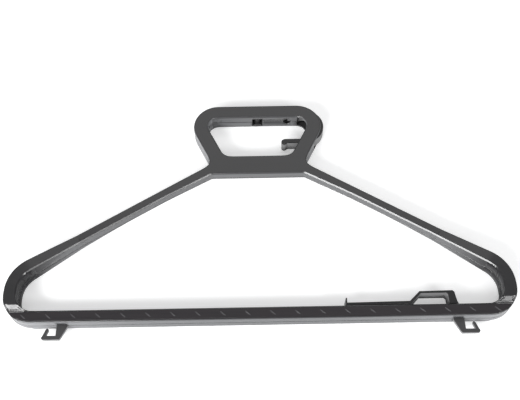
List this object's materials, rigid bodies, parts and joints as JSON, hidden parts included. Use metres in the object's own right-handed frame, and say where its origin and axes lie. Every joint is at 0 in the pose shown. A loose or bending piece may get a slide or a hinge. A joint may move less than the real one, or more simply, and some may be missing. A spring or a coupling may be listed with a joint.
{
  "type": "trouser hanger",
  "caption": "Clothes hanger with a ribbed trouser bar, a hand loop that hides a folding hook, a sprung tie tongue and small skirt hooks.",
  "frame": {"origin": "middle of the outer box, on the surface that the hanger lies on", "axes": "+X across the hanger towards the tie tongue, +Y from the trouser bar to the handle, +Z out of the front face"},
  "size_m": [0.437, 0.2346, 0.0202],
  "materials": {
    "shell": "satin moulded black polypropylene, dark grey in bright light",
    "hook": "satin moulded black nylon",
    "grip": "matt black soft rubber with slanting ribs"
  },
  "bodies": {
    "frame": {"front_shell": "shell", "rear_shell": "shell", "hook_pin": "hook", "skirt_hook_left": "hook", "skirt_hook_right": "hook", "grip_strip_front": "grip", "grip_strip_rear": "grip"},
    "hook": {"folding_hook": "hook"},
    "tongue": {"tie_tongue": "hook"}
  },
  "joints": [
    {"name": "hook_swing", "type": "hinge", "parent": "frame", "child": "hook", "pos_m": [0, 0.11032, 0.00865], "axis": [0, 0, 1], "range_deg": [0, 107]},
    {"name": "tongue_lift", "type": "hinge", "parent": "frame", "child": "tongue", "pos_m": [0.1635, -0.09782, 0.00865], "axis": [0, 0, -1], "range_deg": [0, 6], "stiffness_Nm_per_rad": 2.6}
  ]
}
